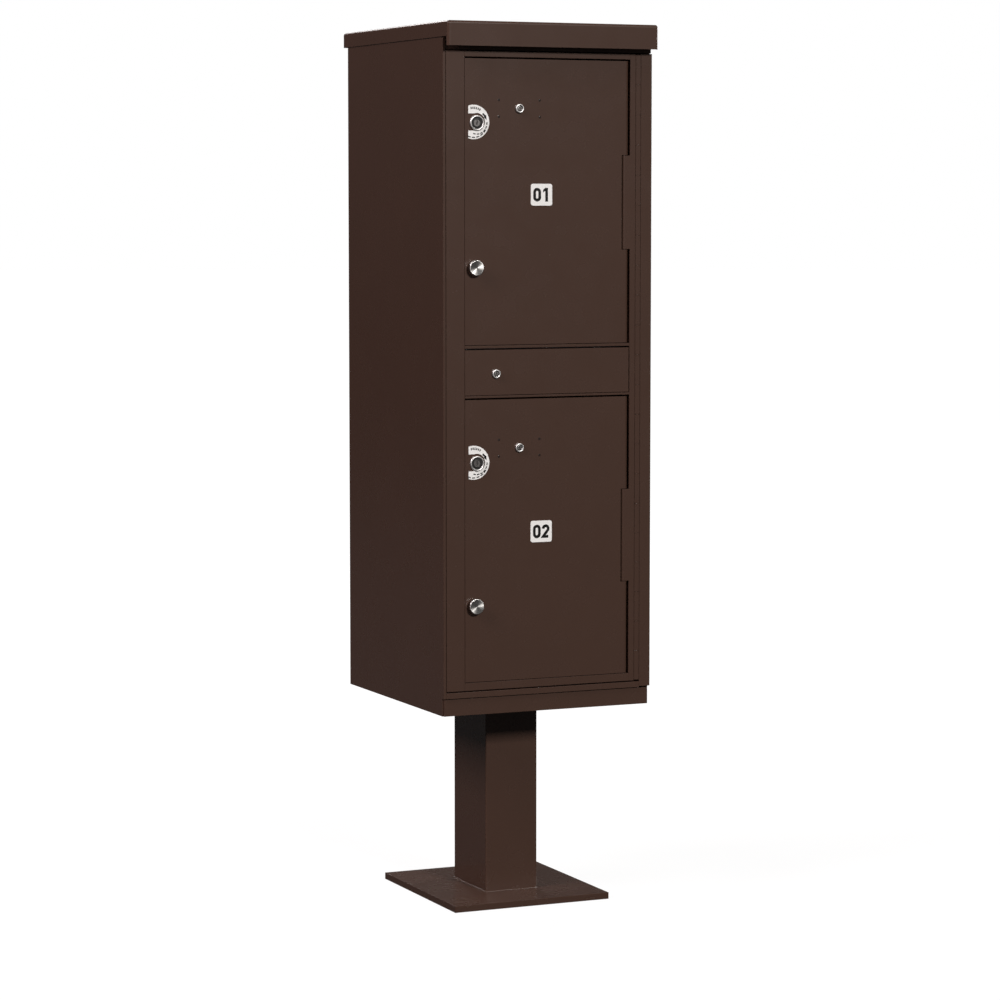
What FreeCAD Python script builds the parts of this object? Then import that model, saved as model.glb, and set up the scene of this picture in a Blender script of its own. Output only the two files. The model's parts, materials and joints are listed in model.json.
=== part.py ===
import FreeCAD, Part
import operator
import os
from types import SimpleNamespace

import Sketcher

# Outdoor parcel locker on a pedestal: a two-compartment cabinet with a hinged master door that
# carries two parcel doors and a centre lock panel, bolted to a welded post and base plate.
# Millimetres. X runs across the front, Y from the front to the back, Z up. The origin is the
# centre of the base plate's underside.

os.makedirs("parts", exist_ok=True)
doc = FreeCAD.newDocument("ParcelLocker")

SIZES = {
    # pedestal
    "plate_width": 304.0, "plate_depth": 334.0, "plate_thick": 12.0,
    "anchor_spacing_x": 60.0, "anchor_spacing_y": 100.0, "anchor_hole_r": 7.0,
    "post_width": 102.0, "post_depth": 146.0, "post_wall": 4.8, "post_corner": 2.5,
    "cap_width": 150.0, "cap_depth": 200.0, "cap_thick": 6.0,
    "cap_opening_x": 70.0, "cap_opening_y": 110.0,
    "mount_bolt_x": 62.0, "mount_bolt_y": 86.0, "mount_bolt_r": 5.0, "mount_bolt_hole_r": 5.5,
    "bolt_head_r": 9.25, "bolt_head": 6.4, "bolt_reach": 14.0, "mount_nut": 8.0,
    # cabinet shell
    "total_height": 1575.0, "cabinet_width": 402.4, "cabinet_depth": 449.0, "cabinet_shift": -7.0,
    "cabinet_bottom": 365.0, "sheet": 2.0, "side_inset": 0.8, "side_setback": 8.0,
    "rear_flange": 14.0, "shell_top_gap": 7.0, "rivet_count": 10.0, "rivet_pitch": 125.0,
    "first_rivet": 45.0, "rivet_r": 2.0, "rivet_head_r": 4.0, "rivet_head": 1.4,
    "pan_height": 29.5, "pan_sheet": 2.5, "pan_setback": 4.0,
    "hood_sheet": 1.6, "hood_clear": 0.2, "hood_front_overhang": 24.0, "hood_back_overhang": 20.0,
    "hood_front_drop": 43.0, "hood_side_drop": 27.0, "hood_corner": 5.0, "fascia_return": 2.0,
    "hood_rail_x": 110.0, "hood_rail_width": 40.0, "hood_rail_end": 60.0,
    # cabinet front
    "jamb_face": 5.0, "post_face": 21.4, "post_tube_depth": 24.0, "profile_wall": 2.2,
    "stop_y": 26.0, "stop_width": 12.0, "front_reveal": 1.6, "bottom_rail_height": 10.4,
    "top_rail_setback": 1.0, "top_rail_short": 1.6, "post_top_gap": 0.5,
    # compartment sheets, strike and seal
    "lip": 15.0, "floor_below": 5.0, "ceiling_above": 4.0, "deck_below": 2.0,
    "strike_offset": 22.5, "strike_width": 22.0, "seal_width": 8.0, "seal_thick": 3.0,
    "seal_margin": 1.0, "seal_end": 6.0,
    # master door frame
    "frame_gap": 0.7, "frame_depth": 20.0, "frame_floor_gap": 2.2, "left_stile": 34.9,
    "right_stile": 10.7, "frame_bottom_rail": 14.0, "opening_height": 500.0, "lower_mid_rail": 4.1,
    "panel_space": 82.7, "upper_mid_rail": 5.0, "frame_top_rail": 10.0,
    # master hinge
    "hinge_zone": 10.6, "master_axis_y": 2.0, "knuckle_r": 5.1, "knuckle_count": 21.0,
    "knuckle_gap": 0.4, "leaf": 2.0, "leaf_start": 5.5, "master_pin_r": 1.6, "pin_play": 0.06,
    "hinge_end": 1.0,
    # parcel doors
    "door_gap": 0.4, "door_top_gap": 2.8, "door_bottom_gap": 1.0, "door_skin": 3.0,
    "door_flange": 14.0, "door_flange_sheet": 2.0, "barrel_gap": 2.3, "barrel_r": 6.0,
    "tab_height": 165.0, "tab_corner": 3.5, "tab_clear": 0.8, "notch_clear": 1.8,
    "parcel_pin_r": 2.5, "parcel_pin_end": 3.0,
    # centre panel
    "panel_bottom_gap": 0.8, "panel_right_gap": 1.2, "panel_top_gap": 2.6, "panel_tab": 15.0,
    "master_lock_x": -101.0, "master_lock_drop": 2.4, "panel_rivet_margin": 14.0, "panel_rivet_r": 3.0,
    # door hardware, heights from the middle of the door
    "lock_x": 22.5, "lock_rise": 137.0, "knob_x": 18.2, "knob_drop": 113.8,
    "label_outer_r": 29.8, "label_left": 6.0, "label_up": 1.5, "label_inner_r": 15.6,
    "label_slot": 14.8, "label_cut": 15.8, "label_thick": 0.3,
    "number_x": -14.0, "number_rise": 13.2, "number_width": 41.0, "number_height": 38.0,
    "number_thick": 0.8, "number_corner": 4.0,
    "carrier_x": -56.5, "carrier_rise": 162.5, "bracket_width": 94.0, "bracket_height": 44.0,
    "stud_x": 78.0, "stud_z": 29.0, "stud_r": 2.2,
    # locks
    "customer_bezel_r": 13.5, "customer_barrel_r": 9.5, "customer_plug_r": 6.2,
    "customer_recess_r": 9.6, "customer_end": 20.5, "customer_proud": 3.5, "customer_nut_r": 13.6,
    "small_bezel_r": 8.0, "small_barrel_r": 5.6, "small_plug_r": 3.6, "small_proud": 4.0,
    "small_nut_r": 9.2, "carrier_end": 18.5, "master_end": 29.4, "lock_play": 0.06,
    "customer_funnel": 2.0, "small_funnel": 0.8, "bezel_edge": 1.0, "plug_tail": 0.4,
    "key_slot": 1.6, "small_key_slot": 1.0, "key_depth": 2.4, "nut_thick": 4.0, "cam_thick": 2.5,
    "customer_hub_r": 9.0, "customer_reach": 30.0, "master_hub_r": 7.0, "master_reach": 21.0,
    "carrier_hub_r": 5.0, "carrier_reach": 15.0,
    "knob_r": 13.75, "knob_neck_r": 7.0, "knob_standoff": 5.0, "knob_head": 6.5,
    "knob_shank_r": 2.5, "knob_edge": 1.2, "knob_back_edge": 1.0, "knob_tail": 5.0,
}

sheet = doc.addObject("Spreadsheet::Sheet", "Sizes")
for row, (alias, number) in enumerate(SIZES.items(), start=1):
    sheet.set(f"A{row}", alias)
    sheet.set(f"B{row}", str(number))
    sheet.setAlias(f"B{row}", alias)
doc.recompute()


class Size:
    """A length that knows both its value and the sheet formula that it comes from."""

    SIGNS = {"+": operator.add, "-": operator.sub, "*": operator.mul, "/": operator.truediv}

    def __init__(self, value, formula):
        self.value = value
        self.formula = formula

    @staticmethod
    def of(thing):
        return thing if isinstance(thing, Size) else Size(float(thing), f"({float(thing)})")

    @staticmethod
    def joined(left, sign, right):
        left, right = Size.of(left), Size.of(right)
        value = Size.SIGNS[sign](left.value, right.value)
        return Size(value, f"({left.formula} {sign} {right.formula})")

    def __add__(self, other):
        return Size.joined(self, "+", other)

    def __radd__(self, other):
        return Size.joined(other, "+", self)

    def __sub__(self, other):
        return Size.joined(self, "-", other)

    def __rsub__(self, other):
        return Size.joined(other, "-", self)

    def __mul__(self, other):
        return Size.joined(self, "*", other)

    def __rmul__(self, other):
        return Size.joined(other, "*", self)

    def __truediv__(self, other):
        return Size.joined(self, "/", other)

    def __neg__(self):
        return Size.joined(0, "-", self)


d = SimpleNamespace(**{alias: Size(number, f"Sizes.{alias}") for alias, number in SIZES.items()})
parts = []
OVER = 1  # how far a cutting tool runs past the face that it cuts


# ---------------------------------------------------------------- helpers

def bind(item, prop, size):
    item.setExpression(prop, Size.of(size).formula)


def place(item, x, y, z):
    for axis, size in zip("xyz", (x, y, z)):
        bind(item, f"Placement.Base.{axis}", size)


def box(x, y, z):
    """A block from its low and high face along each axis."""
    item = doc.addObject("Part::Box", "block")
    for prop, (low, high) in zip(("Length", "Width", "Height"), (x, y, z)):
        bind(item, prop, Size.of(high) - low)
    place(item, x[0], y[0], z[0])
    return item


TURNED = {
    "y": FreeCAD.Rotation(FreeCAD.Vector(1, 0, 0), -90),
    "z": FreeCAD.Rotation(),
}


def along(item, axis, across, low):
    """Lay a primitive made along Z on the Y axis, or leave it on Z; it starts at low."""
    item.Placement = FreeCAD.Placement(FreeCAD.Vector(), TURNED[axis])
    first, second = across
    spot = (first, low, second) if axis == "y" else (first, second, low)
    place(item, *spot)


def rod(axis, across, radius, low, high):
    """A cylinder along an axis; across holds its centre on the two other axes."""
    item = doc.addObject("Part::Cylinder", "rod")
    bind(item, "Radius", radius)
    bind(item, "Height", Size.of(high) - low)
    along(item, axis, across, low)
    return item


def hexagon(axis, across, radius, low, high):
    """A six-sided prism; radius is to its corners."""
    item = doc.addObject("Part::Prism", "hexagon")
    item.Polygon = 6
    bind(item, "Circumradius", radius)
    bind(item, "Height", Size.of(high) - low)
    along(item, axis, across, low)
    return item


def fuse(*items):
    joined = doc.addObject("Part::MultiFuse", "joined")
    joined.Shapes = list(items)
    return joined


def cut(base, *tools):
    result = doc.addObject("Part::Cut", "trimmed")
    result.Base = base
    result.Tool = tools[0] if len(tools) == 1 else fuse(*tools)
    return result


def group(items):
    """Separate solids that share one node."""
    item = doc.addObject("Part::Compound", "group")
    item.Links = list(items)
    return item


def part(item, label):
    """Name a finished piece, so that it is checked and written."""
    item.Label = label
    parts.append(item)
    return item


def outline(body, plane, points, height=0):
    """A closed sketch on one of the body's own origin planes, every corner bound to the sheet."""
    sketch = body.newObject("Sketcher::SketchObject", "outline")
    roles = {feature.Role: feature for feature in body.Origin.OriginFeatures}
    sketch.AttachmentSupport = [(roles[plane], "")]
    sketch.MapMode = "FlatFace"
    bind(sketch, "AttachmentOffset.Base.z", height)
    corners = [(Size.of(u), Size.of(v)) for u, v in points]
    count = len(corners)
    for index, (u, v) in enumerate(corners):
        nxt = corners[(index + 1) % count]
        start = FreeCAD.Vector(u.value, v.value, 0)
        end = FreeCAD.Vector(nxt[0].value, nxt[1].value, 0)
        sketch.addGeometry(Part.LineSegment(start, end), False)
    for index in range(count):
        sketch.addConstraint(Sketcher.Constraint("Coincident", index, 2, (index + 1) % count, 1))
    for index, (u, v) in enumerate(corners):
        for kind, axis, size in (("DistanceX", -2, u), ("DistanceY", -1, v)):
            if abs(size.value) < 1e-9:
                sketch.addConstraint(Sketcher.Constraint("PointOnObject", index, 1, axis))
                continue
            spot = sketch.addConstraint(Sketcher.Constraint(kind, -1, 1, index, 1, size.value))
            bind(sketch, f"Constraints[{spot}]", size)
    return sketch


def rectangle(half_x, half_y, centre_y=0):
    return [(-half_x, centre_y - half_y), (half_x, centre_y - half_y),
            (half_x, centre_y + half_y), (-half_x, centre_y + half_y)]


def padded(label, points, low, high):
    """A PartDesign body: an outline in plan, padded from low to high."""
    body = doc.addObject("PartDesign::Body", label + "_body")
    pad = body.newObject("PartDesign::Pad", label + "_pad")
    pad.Profile = outline(body, "XY_Plane", points, low)
    bind(pad, "Length", Size.of(high) - low)
    body.Tip = pad
    return body


def pocketed(body, label, points, low, high):
    """Cut an outline out of a body, upwards from low to high."""
    doc.recompute()
    before = body.Shape.Volume
    pocket = body.newObject("PartDesign::Pocket", label + "_pocket")
    pocket.Profile = outline(body, "XY_Plane", points, low)
    pocket.Reversed = True
    bind(pocket, "Length", Size.of(high) - low)
    body.Tip = pocket
    doc.recompute()
    if body.Shape.Volume >= before:
        raise RuntimeError(f"{label}: the pocket removed nothing")
    return body


def rounded(body, radius, wanted):
    """Round the body's edges that wanted(edge) picks."""
    doc.recompute()
    tip = body.Tip
    names = [f"Edge{number}" for number, edge in enumerate(tip.Shape.Edges, start=1) if wanted(edge)]
    fillet = body.newObject("PartDesign::Fillet", "rounding")
    fillet.Base = (tip, names)
    bind(fillet, "Radius", radius)
    body.Tip = fillet
    return body


def is_upright(edge):
    ends = [vertex.Point for vertex in edge.Vertexes]
    return len(ends) == 2 and abs((ends[1] - ends[0]).normalize().z) > 0.99


def turned(label, points, x, y, z):
    """A PartDesign body turned about its Y axis; each point is (radius, depth behind y)."""
    body = doc.addObject("PartDesign::Body", label + "_body")
    spin = body.newObject("PartDesign::Revolution", label + "_turning")
    sketch = outline(body, "XY_Plane", points)
    spin.Profile = sketch
    spin.ReferenceAxis = (sketch, ["V_Axis"])
    spin.Angle = 360
    body.Tip = spin
    place(body, x, y, z)
    return body


# ---------------------------------------------------------------- shared places

half = d.cabinet_width / 2
side_out = half - d.side_inset
side_in = side_out - d.sheet
front = d.cabinet_shift - d.cabinet_depth / 2
back = d.cabinet_shift + d.cabinet_depth / 2
back_in = back - d.sheet
rear_stop = back_in - d.sheet
pan_top = d.cabinet_bottom + d.pan_height
shell_top = d.total_height - d.shell_top_gap
stop_front = front + d.stop_y
lip_front = stop_front + d.sheet

jamb_in = d.jamb_face - half
post_left = half - d.post_face
master_x = post_left - d.hinge_zone / 2
master_y = front + d.master_axis_y
frame_left = jamb_in + d.frame_gap
opening_left = frame_left + d.left_stile
frame_right = post_left - d.hinge_zone
opening_right = frame_right - d.right_stile
frame_back = front + d.frame_depth

rail_bottom = pan_top + d.front_reveal
rail_top = rail_bottom + d.bottom_rail_height
frame_bottom = rail_top + d.frame_floor_gap
lower_opening = frame_bottom + d.frame_bottom_rail
lower_opening_top = lower_opening + d.opening_height
panel_space_bottom = lower_opening_top + d.lower_mid_rail
panel_space_top = panel_space_bottom + d.panel_space
upper_opening = panel_space_top + d.upper_mid_rail
upper_opening_top = upper_opening + d.opening_height
frame_top = upper_opening_top + d.frame_top_rail

door_left = opening_left + d.door_gap
parcel_x = opening_right - d.barrel_gap - d.barrel_r
parcel_y = front + d.barrel_r
door_bottoms = {1: upper_opening + d.door_bottom_gap, 2: lower_opening + d.door_bottom_gap}
door_height = d.opening_height - d.door_top_gap - d.door_bottom_gap
panel_bottom = panel_space_bottom + d.panel_bottom_gap
panel_top = panel_space_top - d.panel_top_gap
panel_middle = panel_bottom + (panel_top - panel_bottom) / 2


# ---------------------------------------------------------------- pedestal

def make_pedestal():
    plate = padded("base_plate", rectangle(d.plate_width / 2, d.plate_depth / 2), 0, d.plate_thick)
    anchors = [
        rod("z", (sx * d.anchor_spacing_x / 2, sy * d.anchor_spacing_y / 2), d.anchor_hole_r,
            -OVER, d.plate_thick + OVER)
        for sx in (-1, 1) for sy in (-1, 1)
    ]
    part(cut(plate, *anchors), "base_plate")

    cap_top = pan_top - d.pan_sheet
    cap_bottom = cap_top - d.cap_thick
    tube = padded("pedestal_post", rectangle(d.post_width / 2, d.post_depth / 2),
                  d.plate_thick, cap_bottom)
    rounded(tube, d.post_corner, is_upright)
    bore = rectangle(d.post_width / 2 - d.post_wall, d.post_depth / 2 - d.post_wall)
    pocketed(tube, "pedestal_post", bore, d.plate_thick, cap_bottom)
    part(tube, "pedestal_post")

    half_cap_x, half_cap_y = d.cap_width / 2, d.cap_depth / 2
    cap = box((-half_cap_x, half_cap_x), (-half_cap_y, half_cap_y), (cap_bottom, cap_top))
    hand_hole = box((-d.cap_opening_x / 2, d.cap_opening_x / 2),
                    (-d.cap_opening_y / 2, d.cap_opening_y / 2),
                    (cap_bottom - OVER, cap_top + OVER))
    spots = [(sx * d.mount_bolt_x, sy * d.mount_bolt_y) for sx in (-1, 1) for sy in (-1, 1)]
    holes = [rod("z", spot, d.mount_bolt_hole_r, cap_bottom - OVER, cap_top + OVER)
             for spot in spots]
    part(cut(cap, hand_hole, *holes), "pedestal_cap_plate")

    bolts = []
    nuts = []
    for spot in spots:
        head = hexagon("z", spot, d.bolt_head_r, pan_top, pan_top + d.bolt_head)
        shank = rod("z", spot, d.mount_bolt_r, cap_bottom - d.bolt_reach, pan_top)
        bolts.append(fuse(head, shank))
        nut_bottom = cap_bottom - d.mount_nut
        nut = hexagon("z", spot, d.bolt_head_r, nut_bottom, cap_bottom)
        thread = rod("z", spot, d.mount_bolt_r, nut_bottom - OVER, cap_bottom + OVER)
        nuts.append(cut(nut, thread))
    part(group(bolts), "cabinet_bolts")
    part(group(nuts), "cabinet_nuts")
    return spots


# ---------------------------------------------------------------- cabinet shell

def rivet_heights():
    first = d.cabinet_bottom + d.first_rivet
    return [first + step * d.rivet_pitch for step in range(int(d.rivet_count.value))]


def rivet_spots():
    middle = side_in - d.rear_flange / 2
    return [(side * middle, height) for side in (-1, 1) for height in rivet_heights()]


def make_shell(bolt_spots):
    pan_front = front + d.pan_setback
    pan_low = d.cabinet_bottom
    pan = cut(
        box((-side_in, side_in), (pan_front, rear_stop), (pan_low, pan_top)),
        box((d.pan_sheet - side_in, side_in - d.pan_sheet),
            (pan_front + d.pan_sheet, rear_stop - d.pan_sheet),
            (pan_low - OVER, pan_top - d.pan_sheet)),
        *[rod("z", spot, d.mount_bolt_hole_r, pan_low, pan_top + OVER) for spot in bolt_spots],
    )
    part(pan, "bottom_pan")

    for label, side in (("left_side_panel", -1), ("right_side_panel", 1)):
        inner, outer, flange = side * side_in, side * side_out, side * (side_in - d.rear_flange)
        low_x, high_x = (outer, inner) if side < 0 else (inner, outer)
        low_f, high_f = (inner, flange) if side < 0 else (flange, inner)
        wall = box((low_x, high_x), (front + d.side_setback, back_in), (d.cabinet_bottom, shell_top))
        rear = box((low_f, high_f), (rear_stop, back_in), (d.cabinet_bottom, shell_top))
        holes = [rod("y", spot, d.rivet_r, rear_stop - OVER, back_in + OVER)
                 for spot in rivet_spots() if (spot[0].value < 0) == (side < 0)]
        part(cut(fuse(wall, rear), *holes), label)

    rear = box((-side_out, side_out), (back_in, back), (d.cabinet_bottom, shell_top))
    holes = [rod("y", spot, d.rivet_r, back_in - OVER, back + OVER) for spot in rivet_spots()]
    part(cut(rear, *holes), "back_panel")
    rivets = []
    for spot in rivet_spots():
        shank = rod("y", spot, d.rivet_r, rear_stop, back)
        head = rod("y", spot, d.rivet_head_r, back, back + d.rivet_head)
        rivets.append(fuse(shank, head))
    part(group(rivets), "back_rivets")


def make_hood():
    side = side_out + d.hood_clear + d.hood_sheet
    low_y = front - d.hood_front_overhang
    high_y = back + d.hood_back_overhang
    middle = (low_y + high_y) / 2
    half_y = (high_y - low_y) / 2
    top = d.total_height
    low = top - d.hood_front_drop

    def outer_corner(edge):
        box_top = edge.BoundBox.ZMin > top.value - 0.01
        return box_top or is_upright(edge)

    hood = padded("hood", rectangle(side, half_y, middle), low, top)
    rounded(hood, d.hood_corner, outer_corner)
    inner = rectangle(side - d.hood_sheet, half_y - d.hood_sheet, middle)
    pocketed(hood, "hood", inner, low, top - d.hood_sheet)
    skirt = box((-side - OVER, side + OVER),
                (low_y + d.hood_corner + d.fascia_return, high_y + OVER),
                (low - OVER, top - d.hood_side_drop))
    part(cut(hood, skirt), "hood")


def make_top(frame_lid):
    """The cabinet's ceiling and the two channels that carry the hood over it."""
    ceiling = fuse(
        box((-side_in, side_in), (lip_front, rear_stop), (frame_lid, frame_lid + d.sheet)),
        *[box(sorted_pair(side * side_in, side * (side_in - d.sheet)), (lip_front, rear_stop),
              (frame_lid + d.sheet, frame_lid + d.sheet + d.lip)) for side in (-1, 1)],
    )
    part(ceiling, "top_panel")
    seat = frame_lid + d.sheet
    under = d.total_height - d.hood_sheet
    rails = []
    for side in (-1, 1):
        low_x = side * d.hood_rail_x - d.hood_rail_width / 2
        high_x = side * d.hood_rail_x + d.hood_rail_width / 2
        span = (front + d.hood_rail_end, back - d.hood_rail_end)
        solid = box((low_x, high_x), span, (seat, under))
        hollow = box((low_x + d.sheet, high_x - d.sheet), (span[0] - OVER, span[1] + OVER),
                     (seat - OVER, under - d.sheet))
        rails.append(cut(solid, hollow))
    part(group(rails), "hood_rails")


def sorted_pair(first, second):
    return (first, second) if first.value < second.value else (second, first)


def make_front():
    """Left jamb, right hinge post and the two rails that frame the master door."""
    under_hood = d.total_height - d.hood_side_drop - d.hood_sheet
    face = box((-half, jamb_in), (front, front + d.side_setback), (rail_bottom, under_hood))
    leg = box((-side_in, jamb_in), (front + d.side_setback, lip_front), (pan_top, shell_top))
    stop = box((jamb_in, jamb_in + d.stop_width), (stop_front, lip_front), (pan_top, frame_top))
    part(fuse(face, leg, stop), "left_jamb")

    post_low = rail_bottom + d.front_reveal
    post_high = frame_top + d.post_top_gap
    tube_back = front + d.post_tube_depth
    wall = d.profile_wall
    tube = cut(
        box((post_left, side_in), (front, tube_back), (post_low, post_high)),
        box((post_left + wall, side_in - wall), (front + wall, tube_back - wall),
            (post_low - OVER, post_high + OVER)),
    )
    edge = box((side_in, half), (front, front + d.side_setback), (post_low, post_high))
    part(fuse(tube, edge), "right_hinge_post")

    lid = frame_top + d.front_reveal
    face_back = front + d.top_rail_setback + wall
    upright = box((jamb_in, half - d.top_rail_short), (front + d.top_rail_setback, face_back),
                  (lid, shell_top))
    shelf = box((jamb_in, side_in), (face_back, lip_front), (lid, lid + wall))
    part(fuse(upright, shelf), "front_top_rail")

    rail = box((jamb_in, post_left), (front, front + d.side_setback), (rail_bottom, rail_top))
    part(rail, "front_bottom_rail")
    return lid + wall


def make_floors():
    """Sheet floors and ceiling of the two compartments, each with a stiffening front lip."""
    across = (-side_in, side_in)
    along_y = (lip_front, rear_stop)
    lip_y = (lip_front, lip_front + d.sheet)

    top = upper_opening - d.floor_below
    part(fuse(box(across, along_y, (top - d.sheet, top)),
              box(across, lip_y, (top - d.lip, top - d.sheet))), "upper_compartment_floor")

    bottom = lower_opening_top + d.ceiling_above
    part(fuse(box(across, along_y, (bottom, bottom + d.sheet)),
              box(across, lip_y, (bottom + d.sheet, bottom + d.lip))), "lower_compartment_ceiling")

    deck = lower_opening - d.deck_below
    part(fuse(box(across, along_y, (deck - d.sheet, deck)),
              box(across, lip_y, (pan_top, deck - d.sheet))), "lower_compartment_floor")

    strap_x = d.master_lock_x - d.strike_offset
    half_strap = d.strike_width / 2
    strap = box((strap_x - half_strap, strap_x + half_strap), (stop_front, lip_front),
                (bottom + d.sheet, top - d.sheet))
    part(strap, "master_strike")

    seal_left = jamb_in + d.seal_margin
    left_seal = box((seal_left, seal_left + d.seal_width), (stop_front - d.seal_thick, stop_front),
                    (frame_bottom + d.seal_end, frame_top - d.seal_end))
    low_left = jamb_in + d.stop_width + d.seal_margin
    low_top = deck - d.seal_margin
    low_seal = box((low_left, frame_right - d.seal_end), (lip_front - d.seal_thick, lip_front),
                   (low_top - d.seal_width, low_top))
    part(group([left_seal, low_seal]), "weather_seal")


# ---------------------------------------------------------------- master door

def door_middle(number):
    return door_bottoms[number] + door_height / 2


def make_frame():
    wall = d.profile_wall
    full = (frame_bottom, frame_top)
    deep = (front, frame_back)
    left = cut(
        box((frame_left, opening_left), deep, full),
        box((frame_left + wall, opening_left - wall), (front + wall, frame_back - wall),
            (frame_bottom - OVER, frame_top + OVER)),
    )
    part(left, "frame_left_stile")

    pieces = [box((opening_right, frame_right), deep, full)]
    bores = []
    tab_left = parcel_x - d.barrel_r
    for number in (1, 2):
        low = door_middle(number) - d.tab_height / 2
        high = door_middle(number) + d.tab_height / 2
        nose = tab_left + d.tab_corner
        pieces.append(box((nose, opening_right), (front, front + d.barrel_r * 2), (low, high)))
        pieces.append(box((tab_left, nose), (front + d.tab_corner, front + d.barrel_r * 2),
                          (low, high)))
        pieces.append(rod("z", (nose, front + d.tab_corner), d.tab_corner, low, high))
        bores.append(rod("z", (parcel_x, parcel_y), d.parcel_pin_r, low - OVER, high + OVER))
    part(cut(fuse(*pieces), *bores), "frame_right_stile")

    between = (opening_left, opening_right)
    part(box(between, deep, (upper_opening_top, frame_top)), "frame_top_rail")
    part(box(between, deep, (frame_bottom, lower_opening)), "frame_bottom_rail")
    part(box(between, deep, (panel_space_top, upper_opening)), "frame_upper_mid_rail")
    part(box(between, deep, (lower_opening_top, panel_space_bottom)), "frame_lower_mid_rail")

    pins = []
    for number in (1, 2):
        low = door_bottoms[number] + d.parcel_pin_end
        high = door_bottoms[number] + door_height - d.parcel_pin_end
        pins.append(rod("z", (parcel_x, parcel_y), d.parcel_pin_r, low, high))
    part(group(pins), "parcel_hinge_pins")


def make_centre_panel():
    left, right = door_left, opening_right - d.panel_right_gap
    skin = box((left, right), (front, front + d.door_skin), (panel_bottom, panel_top))
    tray_back = frame_back + d.sheet
    flanges = [
        box((left, right), (front + d.door_skin, tray_back), (panel_bottom, panel_bottom + d.sheet)),
        box((left, right), (front + d.door_skin, tray_back), (panel_top - d.sheet, panel_top)),
    ]
    tab_z = (panel_bottom, panel_top)
    tabs = [
        box((left - d.panel_tab, left + d.sheet), (frame_back, tray_back), tab_z),
        box((right - d.sheet, frame_right), (frame_back, tray_back), tab_z),
    ]
    spot = (d.master_lock_x, panel_middle - d.master_lock_drop)
    lock_hole = rod("y", spot, d.small_barrel_r, front - OVER, front + d.door_skin + OVER)
    part(cut(fuse(skin, *flanges, *tabs), lock_hole), "center_panel")

    rivets = []
    for x in (left - d.panel_tab / 2, frame_right - d.right_stile / 2):
        for z in (panel_bottom + d.panel_rivet_margin, panel_top - d.panel_rivet_margin):
            rivets.append(rod("y", (x, z), d.panel_rivet_r, tray_back, tray_back + d.rivet_head))
    part(group(rivets), "center_panel_rivets")
    return spot


def make_master_hinge():
    """A full-height piano hinge: flat-faced knuckles of the two leaves alternate along one pin."""
    low = frame_bottom + d.hinge_end
    high = frame_top - d.hinge_end
    pitch = (high - low) / d.knuckle_count
    leaf_y = (master_y + d.leaf_start, frame_back)
    cabinet_x = (post_left - d.leaf, post_left)
    door_x = (frame_right, frame_right + d.leaf)
    leaves = (("hinge_cabinet_leaf", cabinet_x, 0), ("hinge_door_leaf", door_x, 1))
    for label, faces, parity in leaves:
        pieces = [box(faces, leaf_y, (low, high))]
        for index in range(parity, int(d.knuckle_count.value), 2):
            start = low + index * pitch + d.knuckle_gap / 2
            end = start + pitch - d.knuckle_gap
            pieces.append(rod("z", (master_x, master_y), d.knuckle_r, start, end))
            pieces.append(box(faces, (master_y, leaf_y[0]), (start, end)))
        play = d.pin_play if parity else 0
        bore = rod("z", (master_x, master_y), d.master_pin_r + play, low - OVER, high + OVER)
        flat = box((master_x - d.knuckle_r, master_x + d.knuckle_r),
                   (front - d.knuckle_r, front), (low - OVER, high + OVER))
        part(cut(fuse(*pieces), bore, flat), label)
    part(rod("z", (master_x, master_y), d.master_pin_r, low, high), "hinge_pin")


# ---------------------------------------------------------------- locks

SLOT_SHARE = 0.7  # how far a key slot reaches across its plug
ARM_SHARE = 0.8   # half width of a cam's arm, as a share of its hub's radius


def make_lock(label, x, z, kind):
    """A cam lock: housing, nut, and a plug that turns in the housing. Depths are behind the face."""
    proud, end = kind.proud, kind.end
    bore = kind.plug_r + d.lock_play
    housing = turned(label + "_body", [
        (bore, -proud + kind.recess), (kind.recess_r, -proud), (kind.bezel_r - d.bezel_edge, -proud),
        (kind.bezel_r, -proud + d.bezel_edge), (kind.bezel_r, 0), (kind.barrel_r, 0),
        (kind.barrel_r, end), (bore, end),
    ], x, front, z)
    part(housing, label + "_body")
    plug_front = front - proud + kind.recess
    plug = rod("y", (x, z), kind.plug_r, plug_front, front + end + d.plug_tail)
    slot = box((x - kind.slot / 2, x + kind.slot / 2), (plug_front - OVER, plug_front + d.key_depth),
               (z - kind.plug_r * SLOT_SHARE, z + kind.plug_r * SLOT_SHARE))
    return cut(plug, slot)


def make_nut(label, x, z, radius, bore, start):
    nut = hexagon("y", (x, z), radius, start, start + d.nut_thick)
    thread = rod("y", (x, z), bore, start - OVER, start + d.nut_thick + OVER)
    part(cut(nut, thread), label)


def cam(x, z, barrel_end, hub_r, reach):
    """A flat cam on the end of a plug, which points up when the lock is open."""
    start = front + barrel_end + d.plug_tail
    end = start + d.cam_thick
    hub = rod("y", (x, z), hub_r, start, end)
    arm = box((x - hub_r * ARM_SHARE, x + hub_r * ARM_SHARE), (start, end), (z, z + reach))
    return fuse(hub, arm)


CUSTOMER = SimpleNamespace(
    proud=d.customer_proud, end=d.customer_end, plug_r=d.customer_plug_r, slot=d.key_slot,
    recess=d.customer_funnel, recess_r=d.customer_recess_r, bezel_r=d.customer_bezel_r,
    barrel_r=d.customer_barrel_r,
)


def small_lock(end):
    """The kind that the carrier locks and the master lock share; only their length differs."""
    return SimpleNamespace(
        proud=d.small_proud, end=end, plug_r=d.small_plug_r, slot=d.small_key_slot,
        recess=d.small_funnel, recess_r=d.small_plug_r + d.small_funnel, bezel_r=d.small_bezel_r,
        barrel_r=d.small_barrel_r,
    )


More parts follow.
